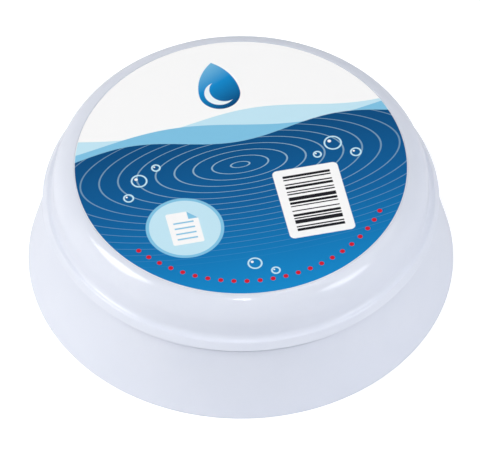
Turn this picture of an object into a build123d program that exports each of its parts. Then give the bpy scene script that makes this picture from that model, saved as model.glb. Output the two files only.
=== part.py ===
from build123d import *
import os
from math import cos, radians, sin, tan

# Finger moistener: a round desk tub of water-soluble gel under a press-on lid.
# Millimetres and degrees. +Z is up, and the origin is on the table at the centre of the foot ring.

# Label, a thin printed disc let into the top of the lid
label_radius = 33.0
label_thickness = 0.15
label_clearance = 0.1  # cut edge of the label to the wall of its recess

# Lid, outside: rim round the label, rounded crown, steep side, cove, step and flared lip
rim_land = 0.3  # straight part of the rim before the crown bends down
rim_slope = 13.5  # fall of the rim where the crown starts
crown_radius = 5.0
side_draft = 3.0  # lean of the side from vertical
side_height = 2.7  # straight side, crown to step
lip_height = 2.25  # flared outer face of the lip
lip_flare = 1.05  # how far that face leans out
step_width = 1.04  # step from the side out to the lip
step_fall = 0.4
cove_chamfer = 0.75

# Lid, inside: outer shell, coring groove, inner skirt with the bore, panel over the liner
lid_wall = 1.45
lid_panel = 1.3
groove_width = 0.8
step_cover = 0.55  # material between the step and the groove's wide mouth
groove_top_cover = 3.45  # material left above the groove, up to the rim
inner_skirt_wall = 1.1
inner_skirt_setback = 0.6  # inner skirt's lower edge above the lip's
lead_in_width = 0.4
lead_in_height = 1.0

# Liner, a foam sealing disc under the lid's panel
liner_thickness = 1.0
liner_clearance = 0.3  # edge of the disc to the bore

# Closure
closure_clearance = 0.1  # neck's grip bead to the bore, radially
seam_gap = 1.1  # shadow gap between lip and shoulder, for a fingernail

# Base, one moulding: hollow flared skirt, shoulder, neck with grip bead, cup and gussets
seam_height = 17.05  # table to the lower edge of the lid
foot_overhang = 2.9  # foot outside the lip
lip_overhang = 0.85  # lip outside the shoulder
base_wall = 1.5
neck_wall = 1.5
bead_height = 0.4
bead_width = 1.8
bead_drop = 3.2  # neck's rim to the middle of the grip bead
rim_chamfer = 0.4  # guides the lid on
cup_draft = 3.0
gate_radius = 3.0  # shallow recess round the moulding's gate, under the cup
gate_depth = 0.4
gusset_count = 8
gusset_thickness = 1.2
gusset_foot = 3.0  # table to the lower tip of a gusset

# Gel, poured into the cup
gel_depth = 6.56
headspace = 4.8  # gel's surface to the neck's rim
gel_clearance = 0.1

# Heights that follow
lip_top_height = seam_height + lip_height
step_height = lip_top_height + step_fall
crown_turn = 90 - rim_slope - side_draft
crown_reach = rim_land + crown_radius * tan(radians(crown_turn / 2))
rim_fall = rim_land * sin(radians(rim_slope))
crown_fall = rim_fall + crown_radius * (cos(radians(rim_slope)) - sin(radians(side_draft)))
overall_height = step_height + side_height + crown_fall
recess_floor = overall_height - label_thickness
panel_underside = recess_floor - lid_panel
neck_top = panel_underside - liner_thickness
shoulder_height = seam_height - seam_gap
gel_top = neck_top - headspace
cup_floor = gel_top - gel_depth
cup_underside = cup_floor - base_wall
shoulder_underside = shoulder_height - base_wall

# Radii that follow, from the label outwards, then inwards to the gel
recess_radius = label_radius + label_clearance
crown_corner_radius = recess_radius + crown_reach * cos(radians(rim_slope))
crown_corner_height = overall_height - crown_reach * sin(radians(rim_slope))
step_radius = crown_corner_radius + (crown_corner_height - step_height) * tan(radians(side_draft))
lip_top_radius = step_radius + step_width
lip_radius = lip_top_radius + lip_flare
foot_radius = lip_radius + foot_overhang
shoulder_radius = lip_radius - lip_overhang
groove_outer_radius = crown_corner_radius - lid_wall
groove_inner_radius = groove_outer_radius - groove_width
bore_radius = groove_inner_radius - inner_skirt_wall
liner_radius = bore_radius - liner_clearance
bead_radius = bore_radius - closure_clearance
neck_radius = bead_radius - bead_height
cup_rim_radius = neck_radius - neck_wall
cup_floor_radius = cup_rim_radius - (neck_top - cup_floor) * tan(radians(cup_draft))
cup_outer_radius = cup_floor_radius + base_wall
skirt_lean = (foot_radius - shoulder_radius) / shoulder_height
skirt_level_wall = base_wall * (1 + skirt_lean**2) ** 0.5  # skirt's wall measured level


def cup_radius(height):
    """Inner radius of the cup's drafted wall at a height."""
    return cup_floor_radius + (height - cup_floor) * tan(radians(cup_draft))


def skirt_radius(height):
    """Outer radius of the flared skirt at a height."""
    return foot_radius - height * skirt_lean


def half_section(corners):
    """Closed half section in the XZ plane from corners of (radius, height, rounding)."""
    with BuildSketch(Plane.XZ) as section:
        with BuildLine():
            FilletPolyline(
                *[(radius, height) for radius, height, _ in corners],
                radius=[rounding for _, _, rounding in corners],
                close=True,
            )
        make_face()
    return section.sketch


def ring_edge(turned, radius, height):
    """The turned piece's round edge that lies nearest to a radius and a height."""
    rings = turned.edges().filter_by(GeomType.CIRCLE)
    return min(rings, key=lambda ring: abs(ring.radius - radius) + abs(ring.arc_center.Z - height))


os.makedirs("parts", exist_ok=True)

# Label
with BuildPart() as label:
    with BuildSketch(Plane.XY.offset(recess_floor)):
        Circle(label_radius)
    extrude(amount=label_thickness)
label.part.label = "label"
export_step(label.part, "parts/label.step")

# Lid: one turned moulding, outside from the recess to the lip, then back through the groove and the bore
groove_top = overall_height - groove_top_cover
groove_step_height = step_height - step_cover
inner_skirt_foot = seam_height + inner_skirt_setback
lid_corners = [
    (0, recess_floor, 0),
    (recess_radius, recess_floor, 0),
    (recess_radius, overall_height, 0),
    (crown_corner_radius, crown_corner_height, crown_radius),
    (step_radius, step_height, 0),
    (lip_top_radius, lip_top_height, 0),
    (lip_radius, seam_height, 0),
    (lip_radius - lid_wall, seam_height, 0),
    (lip_top_radius - lid_wall, groove_step_height, 0),
    (groove_outer_radius, groove_step_height, 0),
    (groove_outer_radius, groove_top, 0),
    (groove_inner_radius, groove_top, 0),
    (groove_inner_radius, inner_skirt_foot, 0),
    (bore_radius + lead_in_width, inner_skirt_foot, 0),
    (bore_radius, inner_skirt_foot + lead_in_height, 0),
    (bore_radius, panel_underside, 0),
    (0, panel_underside, 0),
]
with BuildPart() as lid:
    revolve(half_section(lid_corners), axis=Axis.Z)
    chamfer(ring_edge(lid, step_radius, step_height), cove_chamfer)
lid.part.label = "lid"
export_step(lid.part, "parts/lid.step")

# Liner
with BuildPart() as lid_liner:
    with BuildSketch(Plane.XY.offset(neck_top)):
        Circle(liner_radius)
    extrude(amount=liner_thickness)
lid_liner.part.label = "lid_liner"
export_step(lid_liner.part, "parts/lid_liner.step")

# Base: one turned moulding, up the skirt and the neck, down into the cup, back along the underside
bead_middle = neck_top - bead_drop
base_corners = [
    (foot_radius, 0, 0),
    (shoulder_radius, shoulder_height, 0),
    (neck_radius, shoulder_height, 0),
    (neck_radius, bead_middle - bead_width / 2, 0),
    (bead_radius, bead_middle, 0),
    (neck_radius, bead_middle + bead_width / 2, 0),
    (neck_radius, neck_top, 0),
    (cup_rim_radius, neck_top, 0),
    (cup_floor_radius, cup_floor, 0),
    (0, cup_floor, 0),
    (0, cup_underside + gate_depth, 0),
    (gate_radius, cup_underside + gate_depth, 0),
    (gate_radius, cup_underside, 0),
    (cup_outer_radius, cup_underside, 0),
    (cup_outer_radius, shoulder_underside, 0),
    (skirt_radius(shoulder_underside) - skirt_level_wall, shoulder_underside, 0),
    (foot_radius - skirt_level_wall, 0, 0),
]

# A gusset runs from the cup's corner to the skirt, each end buried in the middle of the wall it joins
gusset_top = shoulder_height - base_wall / 2
gusset_corners = [
    (cup_floor_radius, cup_floor - base_wall / 2),
    (cup_radius(gusset_top) + base_wall / 2, gusset_top),
    (skirt_radius(gusset_top) - skirt_level_wall / 2, gusset_top),
    (skirt_radius(gusset_foot) - skirt_level_wall / 2, gusset_foot),
]
gusset_planes = [Plane.XZ.rotated((0, 0, 360 * turn / gusset_count)) for turn in range(gusset_count)]
with BuildPart() as base:
    revolve(half_section(base_corners), axis=Axis.Z)
    chamfer(ring_edge(base, neck_radius, neck_top), rim_chamfer)
    with BuildSketch(*gusset_planes):
        with BuildLine():
            Polyline(*gusset_corners, close=True)
        make_face()
    extrude(amount=gusset_thickness / 2, both=True)
base.part.label = "base"
export_step(base.part, "parts/base.step")

# Gel
gel_corners = [
    (0, cup_floor, 0),
    (cup_floor_radius - gel_clearance, cup_floor, 0),
    (cup_radius(gel_top) - gel_clearance, gel_top, 0),
    (0, gel_top, 0),
]
with BuildPart() as gel_puck:
    revolve(half_section(gel_corners), axis=Axis.Z)
gel_puck.part.label = "gel_puck"
export_step(gel_puck.part, "parts/gel_puck.step")
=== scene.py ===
import bpy
import numpy as np
from mathutils import Matrix, Vector


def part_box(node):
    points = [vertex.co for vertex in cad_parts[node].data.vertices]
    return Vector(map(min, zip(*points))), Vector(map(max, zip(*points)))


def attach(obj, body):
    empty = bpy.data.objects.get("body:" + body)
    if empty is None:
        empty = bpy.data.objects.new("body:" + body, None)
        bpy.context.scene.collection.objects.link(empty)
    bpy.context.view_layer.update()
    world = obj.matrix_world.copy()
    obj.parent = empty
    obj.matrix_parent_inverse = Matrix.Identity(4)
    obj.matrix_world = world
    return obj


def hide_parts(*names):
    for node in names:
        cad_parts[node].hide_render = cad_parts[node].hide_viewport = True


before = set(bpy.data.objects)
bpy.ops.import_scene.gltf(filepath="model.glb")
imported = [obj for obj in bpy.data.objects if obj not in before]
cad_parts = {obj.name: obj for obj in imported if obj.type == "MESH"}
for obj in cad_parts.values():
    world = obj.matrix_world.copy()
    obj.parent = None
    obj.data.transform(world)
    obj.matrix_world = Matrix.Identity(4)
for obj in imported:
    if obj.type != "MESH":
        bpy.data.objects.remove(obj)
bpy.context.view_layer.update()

# Base: one injection moulding in cool white polypropylene, with a flared skirt, a shoulder under the lid,
# a neck with a grip bead and a cup for the gel. Eight thin gussets in its open underside stiffen the skirt,
# and it stands loose on the skirt's foot.
MM = 0.001
SECTORS = 240  # steps once round a turned piece
ARC_STEPS = 12  # points along a rounded corner
ARC_LEAD = 0.04  # from an arc's end to the point that keeps the run beside it straight, in millimetres


def turned_node(node):
    """Outer radius, lowest and highest point of a turned CAD node, in millimetres."""
    low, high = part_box(node)
    return high.x / MM, low.z / MM, high.z / MM


foot_radius, _, neck_top = turned_node("base")
_, seam_height, _ = turned_node("lid")
liner_radius, _, _ = turned_node("lid_liner")
_, cup_floor, _ = turned_node("gel_puck")
wall = 1.5
skirt_lean = 0.23511  # radius that the skirt loses to each millimetre of height
skirt_level_wall = wall * (1 + skirt_lean**2) ** 0.5
shadow_gap = 1.01  # lid's lower edge to the shoulder
shoulder_wall = 1.59
shoulder_height = seam_height - shadow_gap
shoulder_underside = shoulder_height - shoulder_wall
liner_clearance = 0.3  # seal's edge to the lid's bore
closure_clearance = 0.1  # grip bead to the bore
bore_radius = liner_radius + liner_clearance
bead_radius = bore_radius - closure_clearance
bead_height = 0.4
bead_half_width = 0.9
bead_drop = 3.2
bead_middle = neck_top - bead_drop
neck_radius = bead_radius - bead_height
cup_lean = 0.0524  # radius that the cup gains to each millimetre of height
cup_rim_radius = neck_radius - wall
cup_floor_radius = cup_rim_radius - (neck_top - cup_floor) * cup_lean
cup_outer_radius = cup_floor_radius + wall
cup_underside = cup_floor - wall
gate_radius = 3.0
gate_depth = 0.4
gate_roof = cup_underside + gate_depth
crisp = 0.05  # rounding of an edge that shows as a sharp outline


def skirt_radius(height):
    """Outer radius of the skirt's cone: the foot's radius less the lean times the height."""
    return foot_radius - height * skirt_lean


base_outline = [  # radius, height and rounding, from under the cup round to the cup's floor
    (0, gate_roof, 0),
    (gate_radius, gate_roof, 0.12),
    (gate_radius, cup_underside, 0.15),
    (cup_outer_radius, cup_underside, 1.0),
    (cup_outer_radius, shoulder_underside, 0.4),
    (skirt_radius(shoulder_underside) - skirt_level_wall, shoulder_underside, 0.5),
    (foot_radius - skirt_level_wall, 0, 0.3),
    (foot_radius, 0, crisp),
    (skirt_radius(shoulder_height), shoulder_height, 0.1),
    (neck_radius, shoulder_height, 0.4),
    (neck_radius, bead_middle - bead_half_width, 0.4),
    (bead_radius, bead_middle, 0.6),
    (neck_radius, bead_middle + bead_half_width, 0.4),
    (neck_radius, neck_top, 0.5),
    (cup_rim_radius, neck_top, 0.5),
    (cup_floor_radius, cup_floor, 2.0),
    (0, cup_floor, 0),
]
gusset_count = 8
gusset_thickness = 1.2
gusset_rounding = 0.3
gusset_low, gusset_high = 3.0, 15.2
gusset_foot = [  # radius and height of a gusset's free lower edge, from the cup's wall out to the skirt's
    (cup_floor_radius, cup_floor - wall / 2),
    (skirt_radius(gusset_low) - skirt_level_wall / 2, gusset_low),
]
gusset_head = [  # its upper edge, inside the shoulder
    (cup_floor_radius + (gusset_high - cup_floor) * cup_lean + wall / 2, gusset_high),
    (skirt_radius(gusset_high) - skirt_level_wall / 2, gusset_high),
]


def rounded_outline(corners):
    """Points of an outline whose corners are arcs. With half the corner's angle, the arc's centre lies on the
    bisector at rounding / sin(half), and the arc starts rounding / tan(half) from the corner. Its points are
    spaced evenly by turning from the start's spoke to the end's. One more point stands just before and just
    after each arc, so that the straight runs shade straight. The two ends stay as they are."""
    table = np.array(corners, float)
    ends, mid, rounding = table[[0, -1], :2], table[1:-1, :2], table[1:-1, 2:]
    back, ahead = table[:-2, :2] - mid, table[2:, :2] - mid
    back_length = np.linalg.norm(back, axis=1, keepdims=True)
    ahead_length = np.linalg.norm(ahead, axis=1, keepdims=True)
    back, ahead = back / back_length, ahead / ahead_length
    half = np.arccos(np.clip((back * ahead).sum(1, keepdims=True), -1, 1)) / 2
    reach = rounding / np.tan(half)
    bisector = (back + ahead) / np.linalg.norm(back + ahead, axis=1, keepdims=True)
    centre = mid + bisector * rounding / np.sin(half)
    start, finish = mid + back * reach, mid + ahead * reach
    turn = np.pi - 2 * half
    share = np.linspace(0, 1, ARC_STEPS)[None, :, None]
    spokes = np.sin((1 - share) * turn[:, None]) * (start - centre)[:, None]
    spokes = spokes + np.sin(share * turn[:, None]) * (finish - centre)[:, None]
    arcs = centre[:, None] + spokes / np.sin(turn)[:, None]
    near = np.vstack([reach[:1] * 0, reach])[:-1]
    far = np.vstack([reach, reach[:1] * 0])[1:]
    before = start + back * np.minimum(ARC_LEAD, (back_length - reach - near) / 3)
    after = finish + ahead * np.minimum(ARC_LEAD, (ahead_length - reach - far) / 3)
    runs = np.concatenate([before[:, None], arcs, after[:, None]], axis=1).reshape(-1, 2)
    return np.vstack([ends[:1], runs, ends[1:]])


def turned_skin(outline):
    """Carries an outline of (radius, height) once round the Z axis: x = radius cos t, y = radius sin t. The
    outline starts and ends on the axis, and its two ends are single points joined by fans."""
    turn = np.linspace(0, 2 * np.pi, SECTORS, endpoint=False)
    radius, height = outline[1:-1, :1], outline[1:-1, 1:]
    grid = np.stack([radius * np.cos(turn), radius * np.sin(turn), height + 0 * turn], axis=-1)
    poles = np.array([[0, 0, outline[0, 1]], [0, 0, outline[-1, 1]]])
    rows = len(outline) - 2
    ring = np.arange(SECTORS)
    beside = (ring + 1) % SECTORS
    row = np.arange(rows - 1)[:, None] * SECTORS
    quads = np.stack([row + ring, row + beside, row + SECTORS + beside, row + SECTORS + ring], axis=-1)
    last = (rows - 1) * SECTORS
    low_pole, high_pole = rows * SECTORS, rows * SECTORS + 1
    low_fan = np.stack([ring * 0 + low_pole, beside, ring], axis=-1)
    high_fan = np.stack([last + ring, last + beside, ring * 0 + high_pole], axis=-1)
    faces = quads.reshape(-1, 4).tolist() + low_fan.tolist() + high_fan.tolist()
    return np.vstack([grid.reshape(-1, 3), poles]) * MM, faces


def gusset_plates(length_steps=12, bend_steps=6):
    """A ruled plate between a gusset's foot line and its head line, both from the cup out to the skirt: the
    section, a strip with two rounded lower corners, is carried along them. Eight copies turn about Z."""
    along = np.linspace(0, 1, length_steps)[:, None, None]
    foot = np.array(gusset_foot[0]) * (1 - along) + np.array(gusset_foot[1]) * along
    head = np.array(gusset_head[0]) * (1 - along) + np.array(gusset_head[1]) * along
    bend = np.linspace(0, np.pi / 2, bend_steps)
    half = gusset_thickness / 2
    flat = half - gusset_rounding
    low_side = -flat - gusset_rounding * np.cos(bend)
    high_side = flat + gusset_rounding * np.sin(bend)
    side = np.concatenate([[-half], low_side, high_side, [half]])
    foot_rise = np.concatenate([1 - np.sin(bend), 1 - np.cos(bend)]) * gusset_rounding
    tall = np.linalg.norm(head - foot, axis=-1, keepdims=True)
    rise = np.concatenate([[0], foot_rise, [0]])[None, :, None] / tall
    rise[:, [0, -1]] = 1
    plate = foot * (1 - rise) + head * rise
    x, y, z = plate[..., 0], side + 0 * plate[..., 0], plate[..., 1]
    turn = (np.arange(gusset_count) * 2 * np.pi / gusset_count)[:, None, None]
    turned_x = x * np.cos(turn) - y * np.sin(turn)
    turned_y = x * np.sin(turn) + y * np.cos(turn)
    copies = np.stack([turned_x, turned_y, z + 0 * turn], axis=-1)
    count = len(side)
    loop = np.arange(count)
    step = np.arange(length_steps - 1)[:, None] * count
    beside = (loop + 1) % count
    quads = np.stack([step + loop, step + count + loop, step + count + beside, step + beside], axis=-1)
    caps = np.stack([loop, loop[::-1] + (length_steps - 1) * count])
    start = np.arange(gusset_count)[:, None, None] * length_steps * count
    walls = (start + quads.reshape(-1, 4)).reshape(-1, 4).tolist()
    return copies.reshape(-1, 3) * MM, walls + (start + caps).reshape(-1, count).tolist()


def smooth_piece(name, points, faces):
    """A smooth-shaded object at the origin, with its place in its mesh."""
    mesh = bpy.data.meshes.new(name)
    mesh.from_pydata(points.tolist(), [], faces)
    mesh.polygons.foreach_set("use_smooth", np.ones(len(mesh.polygons), bool))
    mesh.update()
    piece = bpy.data.objects.new(name, mesh)
    bpy.context.collection.objects.link(piece)
    return piece


def new_finish(name, sockets):
    """A new material with its shader's even values set; returns it, its node tree and its shader."""
    material = bpy.data.materials.new(name)
    material.use_nodes = True
    shader = material.node_tree.nodes["Principled BSDF"]
    for socket, value in sockets.items():
        shader.inputs[socket].default_value = value
    return material, material.node_tree, shader


def cloud(tree, place, scale, detail):
    """Soft noise of so many lumps to the metre, from 0 to 1."""
    noise = tree.nodes.new("ShaderNodeTexNoise")
    noise.inputs["Scale"].default_value = scale
    noise.inputs["Detail"].default_value = detail
    tree.links.new(place, noise.inputs["Vector"])
    return noise.outputs["Fac"]


def shade(tree, value, stops, interpolation="LINEAR"):
    """A colour that runs through stops of (value, colour)."""
    ramp = tree.nodes.new("ShaderNodeValToRGB")
    ramp.color_ramp.interpolation = interpolation
    elements = ramp.color_ramp.elements
    while len(elements) < len(stops):
        elements.new(1.0)
    for element, (position, colour) in zip(elements, stops):
        element.position = position
        element.color = (*colour, 1)
    tree.links.new(value, ramp.inputs["Fac"])
    return ramp.outputs["Color"]


def spread(tree, value, low, high):
    """A value from 0 to 1, carried over to the range from low to high."""
    stretch = tree.nodes.new("ShaderNodeMapRange")
    stretch.inputs["To Min"].default_value = low
    stretch.inputs["To Max"].default_value = high
    tree.links.new(value, stretch.inputs["Value"])
    return stretch.outputs["Result"]


def relief(tree, height, strength, depth, invert=False):
    """The surface's normal, bent by a height of so many metres."""
    bump = tree.nodes.new("ShaderNodeBump")
    bump.invert = invert
    bump.inputs["Strength"].default_value = strength
    bump.inputs["Distance"].default_value = depth
    tree.links.new(height, bump.inputs["Height"])
    return bump.outputs["Normal"]


def moulded_plastic(name, grain_shift):
    """Cool white polypropylene: a cloudy tint several millimetres wide, a roughness that varies with the
    tool's polish, an even gloss over it, and the faint orange peel of a moulded skin."""
    tint = np.array((0.705, 0.738, 0.83))
    cloudy_tint = tint * (0.975, 0.98, 0.985)
    material, tree, shader = new_finish(name, {
        "Specular IOR Level": 0.0,
        "Coat Weight": 0.22,
        "Coat Roughness": 0.11,
        "Coat IOR": 1.5,
        "Subsurface Weight": 0.1,
        "Subsurface Radius": (1.0, 1.0, 1.1),
        "Subsurface Scale": 0.0015,
    })
    place = tree.nodes.new("ShaderNodeTexCoord")
    shift = tree.nodes.new("ShaderNodeMapping")
    shift.inputs["Location"].default_value = (grain_shift, 0.3 * grain_shift, 0)
    tree.links.new(place.outputs["Object"], shift.inputs["Vector"])
    grain = shift.outputs["Vector"]
    tints = shade(tree, cloud(tree, grain, scale=110, detail=3), [(0.3, cloudy_tint), (0.7, tint)])
    tree.links.new(tints, shader.inputs["Base Color"])
    polish = spread(tree, cloud(tree, grain, scale=420, detail=2), low=0.34, high=0.46)
    tree.links.new(polish, shader.inputs["Roughness"])
    peel = relief(tree, cloud(tree, grain, scale=1500, detail=2), strength=0.12, depth=0.00003)
    tree.links.new(peel, shader.inputs["Normal"])
    tree.links.new(peel, shader.inputs["Coat Normal"])
    return material


tub_points, tub_faces = turned_skin(rounded_outline(base_outline))
plate_points, plate_faces = gusset_plates()
plate_faces = [[corner + len(tub_points) for corner in face] for face in plate_faces]
base_moulding = smooth_piece("base_moulding", np.vstack([tub_points, plate_points]), tub_faces + plate_faces)
base_moulding.data.materials.append(moulded_plastic("tub_plastic", 0.0))
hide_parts("base")
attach(base_moulding, "tub")

# Gel: water-soluble glycerine gel, poured warm into the cup and set. It is milky and wet, climbs a little
# where it meets the cup's wall, and keeps the shallow tracks of the fingertips that wipe over it.
_, _, gel_surface = turned_node("gel_puck")
gel_lift = 0.02  # keeps the gel's skin off the cup's floor
gel_clearance = 0.105  # and off its wall
gel_floor = cup_floor + gel_lift
gel_floor_radius = cup_floor_radius - gel_clearance
gel_corner = 2.0
meniscus_height = 0.35
meniscus_width = 1.1
wipe_tracks = [  # centre x, y and radius of each track's arc, the track's half width and its depth
    (-46, -30, 52, 5.0, 0.62),
    (-40, -38, 61, 4.5, 0.50),
    (-52, -16, 48, 5.5, 0.45),
    (38, 44, 50, 5.0, 0.35),
]
track_fade = 6.0  # width of the zone by the wall where the tracks run out


def gel_skin(rings=90, gather=1.6):
    """The cup's inner form filled up to a surface over radius and angle: level, plus a meniscus that falls
    off as exp(-distance from the wall / width), less a bell-shaped trough along the arc of each finger track.
    The surface's rings gather towards the wall by a power of their number."""
    wall_top = gel_surface + meniscus_height
    wall_radius = gel_floor_radius + (wall_top - gel_floor) * cup_lean
    side = rounded_outline([
        (0, gel_floor, 0),
        (gel_floor_radius, gel_floor, gel_corner),
        (wall_radius, wall_top, 0),
    ])
    inward = wall_radius * (1 - np.linspace(0, 1, rings) ** gather)
    outline = np.vstack([side, np.stack([inward, 0 * inward + gel_surface], axis=-1)[1:]])
    points, faces = turned_skin(outline)
    top = slice((len(side) - 2) * SECTORS, None)
    x, y = points[top, 0] / MM, points[top, 1] / MM
    on_surface = np.ones(len(x), bool)
    on_surface[-2] = False  # the pole under the gel
    radius = np.hypot(x, y)
    climb = meniscus_height * np.exp((radius - wall_radius) / meniscus_width)
    centre_x, centre_y, arc_radius, half_width, depth = np.array(wipe_tracks).T[:, :, None]
    off_track = np.hypot(x - centre_x, y - centre_y) - arc_radius
    trough = (depth * np.exp(-((off_track / half_width) ** 2))).sum(0)
    fade = np.clip((wall_radius - radius) / track_fade, 0, 1)
    height = gel_surface + climb - trough * fade * fade * (3 - 2 * fade)
    points[top, 2] = np.where(on_surface, height * MM, points[top, 2])
    return points, faces


def cells(tree, place, scale):
    """Distance from the middle of the nearest cell, with so many cells to the metre."""
    voronoi = tree.nodes.new("ShaderNodeTexVoronoi")
    voronoi.inputs["Scale"].default_value = scale
    tree.links.new(place, voronoi.inputs["Vector"])
    return voronoi.outputs["Distance"]


def wet_gel(name):
    """Milky gel: light spreads inside it, its surface is wet and smooth, and fine bubbles cloud it."""
    material, tree, shader = new_finish(name, {
        "IOR": 1.42,
        "Subsurface Weight": 0.7,
        "Subsurface Radius": (1.0, 1.2, 1.15),
        "Subsurface Scale": 0.004,
        "Coat Weight": 0.8,
        "Coat Roughness": 0.04,
    })
    place = tree.nodes.new("ShaderNodeTexCoord").outputs["Object"]
    clear_gel, milky_gel = (0.75, 0.83, 0.815), (0.80, 0.86, 0.84)
    haze = cloud(tree, place, scale=130, detail=4)
    tree.links.new(shade(tree, haze, [(0.35, clear_gel), (0.68, milky_gel)]), shader.inputs["Base Color"])
    tree.links.new(spread(tree, haze, low=0.08, high=0.18), shader.inputs["Roughness"])
    bubbles = relief(tree, cells(tree, place, scale=900), strength=0.15, depth=0.00005)
    tree.links.new(bubbles, shader.inputs["Normal"])
    return material


gel_fill = smooth_piece("gel_fill", *gel_skin())
gel_fill.data.materials.append(wet_gel("glycerine_gel"))
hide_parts("gel_puck")
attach(gel_fill, "tub")

# Seal: a disc punched from closed-cell polyethylene foam, pressed up against the lid's panel. The rim of the
# neck leaves a shallow ring in it, and its punched edge is slightly pillowed.
_, liner_floor, liner_top = turned_node("lid_liner")
skin_gap = 0.005  # keeps two skins that bear on each other from lying in one plane
skin_inset = 0.002  # keeps a free skin just inside its solid
seal_radius = liner_radius - skin_inset
seal_floor = liner_floor + skin_gap
seal_top = liner_top - skin_gap
seal_edge = 0.4  # zone at the rim that the underside's rings leave to the rounded edge
seal_ring_radius = neck_radius - wall / 2
seal_ring_width = 0.75
seal_ring_depth = 0.16
seal_sag = 0.10
seal_sag_radius = seal_ring_radius - 2  # the sag ends short of the ring


def seal_skin(rings=130, under_depth=0.02):
    """A disc with rounded edges. Its underside is raised by a bell-shaped groove where the neck bears on it.
    Inside that it sags by the sag times 1 less the fourth power of radius / sag radius."""
    inner = np.linspace(0, seal_radius - seal_edge, rings)
    edge = rounded_outline([
        (seal_radius - seal_edge, seal_floor, 0),
        (seal_radius, seal_floor, 0.3),
        (seal_radius, seal_top, 0.2),
        (0, seal_top, 0),
    ])
    points, faces = turned_skin(np.vstack([np.stack([inner, 0 * inner + seal_floor], axis=-1), edge[1:]]))
    radius = np.hypot(points[:, 0], points[:, 1]) / MM
    under = points[:, 2] < (seal_floor + under_depth) * MM
    groove = seal_ring_depth * np.exp(-(((radius - seal_ring_radius) / seal_ring_width) ** 2))
    swell = seal_sag * np.clip(1 - (radius / seal_sag_radius) ** 4, 0, 1)
    points[:, 2] += np.where(under, groove - swell, 0) * MM
    return points, faces


def cell_foam(name):
    """Fine closed-cell foam: cells about 0.4 millimetres across, dull and a little warmer than the tub."""
    material, tree, shader = new_finish(name, {
        "Subsurface Weight": 0.2,
        "Subsurface Radius": (1.0, 1.0, 1.0),
        "Subsurface Scale": 0.001,
    })
    place = tree.nodes.new("ShaderNodeTexCoord").outputs["Object"]
    cell_colour, wall_colour = (0.84, 0.835, 0.81), (0.72, 0.715, 0.70)
    pore = cells(tree, place, scale=2600)
    tree.links.new(shade(tree, pore, [(0.1, cell_colour), (0.75, wall_colour)]), shader.inputs["Base Color"])
    tree.links.new(spread(tree, pore, low=0.55, high=0.75), shader.inputs["Roughness"])
    tree.links.new(relief(tree, pore, strength=0.4, depth=0.0001, invert=True), shader.inputs["Normal"])
    return material


foam_seal = smooth_piece("foam_seal", *seal_skin())
foam_seal.data.materials.append(cell_foam("closed_cell_foam"))
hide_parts("lid_liner")
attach(foam_seal, "cover")

# Lid: the second moulding in the same white plastic, pressed over the neck. Outside it has a recess for the
# label, a rounded crown, a steep side, a cove and a flared lip; inside, a cored groove and a bored skirt.
lip_radius, _, lid_top = turned_node("lid")
label_radius, label_floor, label_top = turned_node("label")
label_clearance = 0.1
recess_radius = label_radius + label_clearance
crown_reach, crown_fall = 3.922, 0.941  # from the rim out and down to the corner that the crown rounds off
crown_rounding = 5.0
ledge_setback, ledge_rise = 0.869, 1.61  # from the lip's radius in, and from the lid's lower edge up
cove_setback, cove_rise = 2.099, 1.96
mouth_setback, mouth_rise = 2.5, 2.1  # of the groove's wide mouth
lip_edge_rise = 0.1
lip_wall = 1.45
groove_cover = 3.45  # material left above the groove
groove_top = lid_top - groove_cover
groove_width = 0.8
inner_skirt_wall = 1.1
inner_skirt_rise = 0.6
inner_skirt_radius = bore_radius + inner_skirt_wall
inner_skirt_foot = seam_height + inner_skirt_rise
groove_radius = inner_skirt_radius + groove_width
lead_in_width = 0.4
lead_in_height = 1.0
lid_outline = [  # radius, height and rounding, from the panel's underside round to the recess
    (0, liner_top, 0),
    (bore_radius, liner_top, 0.25),
    (bore_radius, inner_skirt_foot + lead_in_height, 0.3),
    (bore_radius + lead_in_width, inner_skirt_foot, 0.2),
    (inner_skirt_radius, inner_skirt_foot, 0.2),
    (inner_skirt_radius, groove_top, 0.3),
    (groove_radius, groove_top, 0.3),
    (groove_radius, seam_height + mouth_rise, 0.3),
    (lip_radius - mouth_setback, seam_height + mouth_rise, 0.4),
    (lip_radius - lip_wall, seam_height, 0.3),
    (lip_radius, seam_height + lip_edge_rise, crisp),
    (lip_radius - ledge_setback, seam_height + ledge_rise, 0.6),
    (lip_radius - cove_setback, seam_height + cove_rise, 1.2),
    (recess_radius + crown_reach, lid_top - crown_fall, crown_rounding),
    (recess_radius, lid_top, 0.03),
    (recess_radius, label_floor, 0.03),
    (0, label_floor, 0),
]
lid_moulding = smooth_piece("lid_moulding", *turned_skin(rounded_outline(lid_outline)))
lid_moulding.data.materials.append(moulded_plastic("cover_plastic", 0.21))
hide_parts("lid")
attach(lid_moulding, "cover")

# Label: a round of printed film, glued into the recess on the lid. The print is a plain water motif of our
# own: a drop over layered waves and ripples, bubbles, a page sign, red dots and a block of bars.
film_floor = label_floor + skin_gap
film_top = label_top - skin_inset


def node_maths(tree):
    """Returns calc, which adds one Math node and gives its output; a value may be a number or an output."""

    def calc(operation, *values, clamp=False):
        node = tree.nodes.new("ShaderNodeMath")
        node.operation = operation
        node.use_clamp = clamp
        for socket, value in zip(node.inputs, values):
            if isinstance(value, bpy.types.NodeSocket):
                tree.links.new(value, socket)
            else:
                socket.default_value = value
        return node.outputs[0]

    return calc


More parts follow.
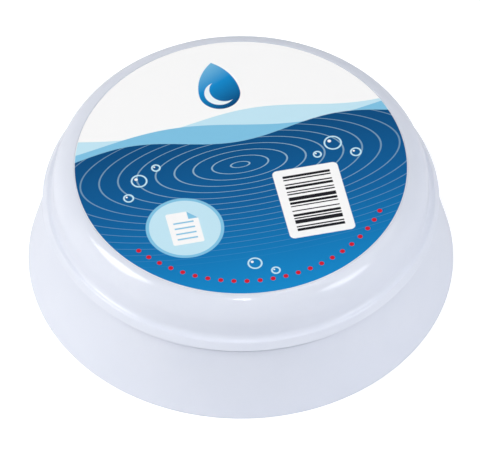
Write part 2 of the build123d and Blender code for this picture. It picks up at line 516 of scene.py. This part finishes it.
def printed_film(name):
    """The label's print, worked out from the place on the label in units of its radius. Each shape is a
    signed distance, below zero inside, and becomes ink through a narrow soft edge."""
    material, tree, shader = new_finish(name, {
        "Specular IOR Level": 0.0,
        "Coat Weight": 0.08,
        "Coat Roughness": 0.44,
    })
    calc = node_maths(tree)
    place = tree.nodes.new("ShaderNodeTexCoord").outputs["Object"]
    axes = tree.nodes.new("ShaderNodeSeparateXYZ")
    tree.links.new(place, axes.inputs["Vector"])
    u = calc("DIVIDE", axes.outputs["X"], label_radius * MM)
    v = calc("DIVIDE", axes.outputs["Y"], label_radius * MM)

    def inked(distance, edge=0.004):
        """Full inside a shape, none outside, with a soft edge."""
        return calc("MULTIPLY_ADD", distance, -1 / edge, 0.5, clamp=True)

    def overprint(under, ink, cover):
        """One ink laid over what is printed so far. A Mix node's colours are its inputs 6 and 7, output 2."""
        mix = tree.nodes.new("ShaderNodeMix")
        mix.data_type = "RGBA"
        tree.links.new(cover, mix.inputs[0])
        for socket, value in ((mix.inputs[6], under), (mix.inputs[7], ink)):
            if isinstance(value, bpy.types.NodeSocket):
                tree.links.new(value, socket)
            else:
                socket.default_value = (*value, 1)
        return mix.outputs[2]

    def slant(across, up):
        """Length of a step across and up, as the root of the two squares."""
        return calc("SQRT", calc("MULTIPLY_ADD", across, across, calc("MULTIPLY", up, up)))

    def disc(x, y, radius):
        """Distance from a round spot."""
        return calc("SUBTRACT", slant(calc("SUBTRACT", u, x), calc("SUBTRACT", v, y)), radius)

    def block(x, y, half_width, half_height, rounding):
        """Distance from a block with rounded corners: the larger-than-zero parts of the two side distances,
        taken as a slant, plus the smaller one inside."""
        side = calc("SUBTRACT", calc("ABSOLUTE", calc("SUBTRACT", u, x)), half_width - rounding)
        rise = calc("SUBTRACT", calc("ABSOLUTE", calc("SUBTRACT", v, y)), half_height - rounding)
        outside = slant(calc("MAXIMUM", side, 0.0), calc("MAXIMUM", rise, 0.0))
        inside = calc("MINIMUM", calc("MAXIMUM", side, rise), 0.0)
        return calc("SUBTRACT", calc("ADD", outside, inside), rounding)

    def wave(level, swell, rate, phase):
        """Distance above a line that rises and falls by its swell, as the sine of rate times the way across,
        plus phase."""
        rise = calc("SINE", calc("MULTIPLY_ADD", u, rate, phase))
        return calc("SUBTRACT", v, calc("MULTIPLY_ADD", rise, swell, level))

    def drop(x, y, radius):
        """Distance from a water drop: a circle below, and above it the lens of two arcs of two and a half
        times its radius, which meet in a tip."""
        across = calc("ABSOLUTE", calc("SUBTRACT", u, x))
        up = calc("SUBTRACT", v, y)
        shift = calc("MULTIPLY", calc("GREATER_THAN", up, 0.0), 1.5 * radius)
        return calc("SUBTRACT", calc("SUBTRACT", slant(calc("ADD", across, shift), up), shift), radius)

    paper = (0.97, 0.97, 0.975)
    sky_blue, pale_blue = (0.22, 0.55, 0.78), (0.55, 0.80, 0.92)
    deep_blue, mid_blue, bright_blue = (0.002, 0.065, 0.195), (0.004, 0.115, 0.33), (0.006, 0.25, 0.60)
    shine_white = (0.86, 0.93, 0.97)
    red = (0.62, 0.012, 0.03)
    black = (0.012, 0.012, 0.016)

    # Waves, the water under them, which turns from deep to bright blue downwards, and its ripples
    printed = overprint(paper, pale_blue, inked(wave(level=0.40, swell=0.045, rate=4.4, phase=0.9)))
    printed = overprint(printed, sky_blue, inked(wave(level=0.33, swell=0.055, rate=3.7, phase=2.9)))
    water = inked(wave(level=0.25, swell=0.050, rate=4.9, phase=4.6))
    depth_start, depth_rate = 0.25, -0.75  # no depth a third of the radius up, full depth at the lower edge
    depth = calc("MULTIPLY_ADD", v, depth_rate, depth_start, clamp=True)
    water_ink = shade(tree, depth, [(0.0, deep_blue), (0.45, mid_blue), (1.0, bright_blue)])
    printed = overprint(printed, water_ink, water)
    ripple_height, ripple_flatness, ripple_step = 0.02, 2.6, 0.115
    ripple_line, ripple_edge = 0.045, 0.03  # shares of the step
    ripple_strength, ripple_loss = 0.55, -0.28
    ripple_way = slant(u, calc("MULTIPLY", calc("SUBTRACT", v, ripple_height), ripple_flatness))
    ripple_share = calc("FRACT", calc("DIVIDE", ripple_way, ripple_step))
    off_ripple = calc("ABSOLUTE", calc("SUBTRACT", ripple_share, 0.5))
    ripple_ink = inked(calc("SUBTRACT", off_ripple, ripple_line), ripple_edge)
    ripple_fade = calc("MULTIPLY_ADD", ripple_way, ripple_loss, ripple_strength, clamp=True)
    ripples = calc("MULTIPLY", calc("MULTIPLY", ripple_ink, ripple_fade), water)
    printed = overprint(printed, pale_blue, ripples)

    # Drop, lighter at the upper left, with a crescent of shine left by a spot that covers most of another
    drop_height, drop_radius, drop_foot = 0.60, 0.125, 0.47
    shine_radius, cover_across, cover_up = 0.092, 0.035, 0.022
    tone_rise, tone_lean = 2.4, -1.2
    tone_across = calc("MULTIPLY", u, tone_lean)
    drop_tone = calc("MULTIPLY_ADD", calc("SUBTRACT", v, drop_foot), tone_rise, tone_across, clamp=True)
    drop_ink = shade(tree, drop_tone, [(0.0, deep_blue), (0.5, bright_blue), (1.0, sky_blue)])
    printed = overprint(printed, drop_ink, inked(drop(0.0, drop_height, drop_radius)))
    covering_spot = disc(cover_across, drop_height + cover_up, shine_radius)
    shine = calc("MAXIMUM", disc(0.0, drop_height, shine_radius), calc("MULTIPLY", covering_spot, -1.0))
    printed = overprint(printed, shine_white, inked(shine))

    # Bubbles: a thin ring each, with a spot of light in it
    ring_half_line = 0.005
    glint_shift, glint_size = 0.35, 0.22  # shares of the bubble's radius
    for x, y, radius in (
        (-0.62, 0.02, 0.045), (-0.50, 0.10, 0.024), (-0.71, -0.10, 0.028), (0.58, 0.07, 0.050),
        (0.70, -0.03, 0.030), (0.47, 0.00, 0.022), (-0.08, -0.76, 0.040), (0.03, -0.84, 0.024),
    ):
        ring = calc("SUBTRACT", calc("ABSOLUTE", disc(x, y, radius)), ring_half_line)
        printed = overprint(printed, pale_blue, inked(ring))
        glint = disc(x - glint_shift * radius, y + glint_shift * radius, glint_size * radius)
        printed = overprint(printed, paper, inked(glint))

    # Page sign: a sheet with a folded corner and ruled rows, on a round ground
    sign_x, sign_y, sign_radius, sign_border = -0.43, -0.40, 0.235, 0.02
    flap_x, flap_y = -0.395, -0.335
    diagonal, fold_way = 0.707, 0.474  # the fold's slanting line lies fold_way from the label's centre
    row_step, row_half_share, row_drop = 0.042, 0.13, 0.03
    printed = overprint(printed, sky_blue, inked(disc(sign_x, sign_y, sign_radius)))
    printed = overprint(printed, pale_blue, inked(disc(sign_x, sign_y, sign_radius - sign_border)))
    past_fold = calc("MULTIPLY_ADD", calc("ADD", u, v), diagonal, fold_way)
    sheet = block(sign_x, sign_y, half_width=0.095, half_height=0.125, rounding=0.012)
    page = calc("MAXIMUM", sheet, past_fold)
    past_flap = calc("MAXIMUM", calc("SUBTRACT", flap_x, u), calc("SUBTRACT", flap_y, v))
    printed = overprint(printed, paper, inked(page))
    printed = overprint(printed, sky_blue, inked(calc("MAXIMUM", past_flap, past_fold)))
    off_row = calc("ABSOLUTE", calc("SUBTRACT", calc("FRACT", calc("DIVIDE", v, row_step)), 0.5))
    rows = calc("MULTIPLY", calc("SUBTRACT", off_row, row_half_share), row_step)
    row_area = block(sign_x, sign_y - row_drop, half_width=0.062, half_height=0.082, rounding=0.002)
    printed = overprint(printed, sky_blue, inked(calc("MAXIMUM", rows, row_area)))

    # Block of bars on a paper ground, which encodes nothing: dark and light by turns, from the lowest up
    bars_x, bars_y, bars_half_width, bars_half_height = 0.37, -0.35, 0.145, 0.22
    bar_ground = block(bars_x, bars_y, half_width=0.20, half_height=0.27, rounding=0.03)
    printed = overprint(printed, paper, inked(bar_ground))
    widths = np.array([
        2, 1, 1, 2, 3, 1, 1, 1, 2, 2, 1, 3, 1, 1, 2, 1, 3, 2, 1, 1, 1, 2, 2, 1, 1, 3, 1, 1, 2,
    ], float)
    edges = np.concatenate([[0], np.cumsum(widths)[:-1]]) / widths.sum()
    stops = [(edge, (1, 1, 1) if number % 2 == 0 else (0, 0, 0)) for number, edge in enumerate(edges)]
    bars_height = 2 * bars_half_height
    way_up = calc("MULTIPLY_ADD", v, 1 / bars_height, (bars_half_height - bars_y) / bars_height)
    bars = shade(tree, way_up, stops, "CONSTANT")
    bar_area = block(bars_x, bars_y, bars_half_width, bars_half_height, rounding=0.002)
    printed = overprint(printed, black, calc("MULTIPLY", bars, inked(bar_area)))

    # Red dots along the lower edge, one to each five degrees, and a paper margin at the cut edge
    dot_turn, dot_ring, dot_radius, dots_each_way = 0.0873, 0.90, 0.015, 11.5
    dot_step = dot_turn * dot_ring
    margin_ring = 0.9975
    way = slant(u, v)
    dot_number = calc("DIVIDE", calc("ARCTAN2", u, calc("MULTIPLY", v, -1.0)), dot_turn)
    off_dot = calc("SUBTRACT", calc("FRACT", calc("ADD", dot_number, 0.5)), 0.5)
    dot = slant(calc("MULTIPLY", off_dot, dot_step), calc("SUBTRACT", way, dot_ring))
    past_last = calc("MULTIPLY", calc("SUBTRACT", calc("ABSOLUTE", dot_number), dots_each_way), dot_step)
    dots = calc("MAXIMUM", calc("SUBTRACT", dot, dot_radius), past_last)
    printed = overprint(printed, red, inked(dots))
    printed = overprint(printed, paper, inked(calc("SUBTRACT", margin_ring, way)))

    tree.links.new(printed, shader.inputs["Base Color"])
    fibre = cloud(tree, place, scale=1800, detail=3)
    tree.links.new(spread(tree, fibre, low=0.38, high=0.50), shader.inputs["Roughness"])
    tree.links.new(relief(tree, fibre, strength=0.06, depth=0.00002), shader.inputs["Normal"])
    return material


label_outline = [
    (0, film_floor, 0),
    (label_radius, film_floor, 0.03),
    (label_radius, film_top, 0.05),
    (0, film_top, 0),
]
label_disc = smooth_piece("label_disc", *turned_skin(rounded_outline(label_outline)))
label_disc.data.materials.append(printed_film("label_film"))
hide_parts("label")
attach(label_disc, "cover")

# Floor: a wide pale sheet under the tub. It reads as white paper, because it glows a little where the camera
# or a gloss sees it, and it keeps the tub's soft contact shadow.
floor_reach = 1.5
floor_height = -0.0001
floor_glow = 0.30


def in_sight(tree):
    """1 for a ray from the camera or one that gloss or glass sends on, 0 for light on a surface."""
    calc = node_maths(tree)
    path = tree.nodes.new("ShaderNodeLightPath")
    sent_on = calc("MAXIMUM", path.outputs["Is Glossy Ray"], path.outputs["Is Transmission Ray"])
    return calc("MAXIMUM", path.outputs["Is Camera Ray"], sent_on)


floor_corners = np.array([(-1, -1), (1, -1), (1, 1), (-1, 1)]) * floor_reach
floor_mesh = bpy.data.meshes.new("floor")
floor_mesh.from_pydata([(x, y, floor_height) for x, y in floor_corners], [], [(0, 1, 2, 3)])
floor = bpy.data.objects.new("floor", floor_mesh)
bpy.context.collection.objects.link(floor)
floor_paper, floor_tree, floor_shader = new_finish("floor_paper", {
    "Base Color": (0.91, 0.91, 0.93, 1),
    "Roughness": 0.9,
    "Emission Color": (1, 1, 1, 1),
})
glow = node_maths(floor_tree)("MULTIPLY", in_sight(floor_tree), floor_glow)
floor_tree.links.new(glow, floor_shader.inputs["Emission Strength"])
floor_mesh.materials.append(floor_paper)

# Studio: a surround that is lighter on the camera's side, a wide soft box low on each side and one overhead.
# The streaks on the crown come from small lamps, and the sheen beside them from wider ones, that show in the
# gloss alone. The left box is a little warm.
view_turn = np.radians(-12.35)
view_rise = np.radians(49.377)
right_hand = Vector((np.cos(view_turn), np.sin(view_turn), 0))
away = Vector((-np.sin(view_turn), np.cos(view_turn), 0))
straight_up = Vector((0, 0, 1))
to_camera = straight_up * np.sin(view_rise) - away * np.cos(view_rise)
mean_light, lean_front = 0.414, 0.155  # strength of the surround, and what it gains towards the camera
seen_light = 1.0  # its strength where the camera or a gloss sees it
world = bpy.data.worlds.new("surround")
bpy.context.scene.world = world
world.use_nodes = True
world_tree = world.node_tree
surround = world_tree.nodes["Background"]
surround.inputs["Color"].default_value = (0.97, 0.98, 1.0, 1)
toward = world_tree.nodes.new("ShaderNodeTexCoord")
facing = world_tree.nodes.new("ShaderNodeVectorMath")
facing.operation = "DOT_PRODUCT"
facing.inputs[1].default_value = away * -lean_front
world_tree.links.new(toward.outputs["Generated"], facing.inputs[0])
falloff = node_maths(world_tree)("ADD", facing.outputs["Value"], mean_light)
level = world_tree.nodes.new("ShaderNodeMix")
level.inputs["B"].default_value = seen_light
world_tree.links.new(in_sight(world_tree), level.inputs["Factor"])
world_tree.links.new(falloff, level.inputs["A"])
world_tree.links.new(level.outputs["Result"], surround.inputs["Strength"])
lamp_distance = 0.9
warm_white = (1.0, 0.97, 0.91)


def turned_to(direction, distance, centre=Vector()):
    """A place so far from the centre in a direction, facing back to the centre."""
    spin = direction.to_track_quat("Z", "Y").to_matrix().to_4x4()
    return Matrix.Translation(centre + direction.normalized() * distance) @ spin


# Each lamp's direction as steps to the right hand, away from the camera and up, its width and its power
for lamp_name, across, beyond, up, width, power, gloss_only in (
    ("left_box", -0.90, -0.10, 0.42, 0.80, 4.0, False),
    ("left_core", -0.63, -0.03, 0.78, 0.42, 9.0, True),
    ("left_bulb", -0.63, -0.03, 0.78, 0.24, 6.0, True),
    ("right_box", 0.90, -0.22, 0.36, 0.80, 2.45, False),
    ("right_core", 0.655, -0.265, 0.71, 0.38, 5.8, True),
    ("right_bulb", 0.655, -0.265, 0.71, 0.18, 2.3, True),
    ("right_glow", 0.17, 0.17, 0.97, 0.24, 1.15, True),
    ("right_haze", 0.50, 0.15, 0.852, 0.50, 3.1, True),
    ("top_box", 0.0, -0.25, 0.97, 0.80, 2.8, False),
    ("front_bulb", 0.0, -0.13, 0.99, 0.045, 1.8, True),
):
    lamp = bpy.data.lights.new(lamp_name, "AREA")
    lamp.shape = "DISK"
    lamp.size = width
    lamp.energy = power
    holder = bpy.data.objects.new(lamp_name, lamp)
    aim = right_hand * across + away * beyond + straight_up * up
    holder.matrix_world = turned_to(aim, lamp_distance)
    holder.visible_diffuse = not gloss_only
    bpy.context.collection.objects.link(holder)
bpy.data.lights["left_box"].color = warm_white

# Camera: a long lens from the front, half way up, as the photograph was taken.
camera_distance = 3.0
picture_width = 480
pixels_per_metre = 5052
label_rise = 62.6  # pixels that the label stands above the middle of the picture
label_shift = 0.9  # and to the right of it
camera_up = to_camera.cross(right_hand)
off_centre = camera_up * label_rise + right_hand * label_shift
target = straight_up * (film_top * MM) - off_centre / pixels_per_metre
lens = bpy.data.cameras.new("camera")
lens.sensor_width = 36.0
lens.lens = lens.sensor_width * camera_distance * pixels_per_metre / picture_width
camera = bpy.data.objects.new("camera", lens)
camera.matrix_world = turned_to(to_camera, camera_distance, target)
bpy.context.collection.objects.link(camera)
bpy.context.scene.camera = camera
bpy.context.scene.view_settings.view_transform = "Standard"

bpy.context.view_layer.update()
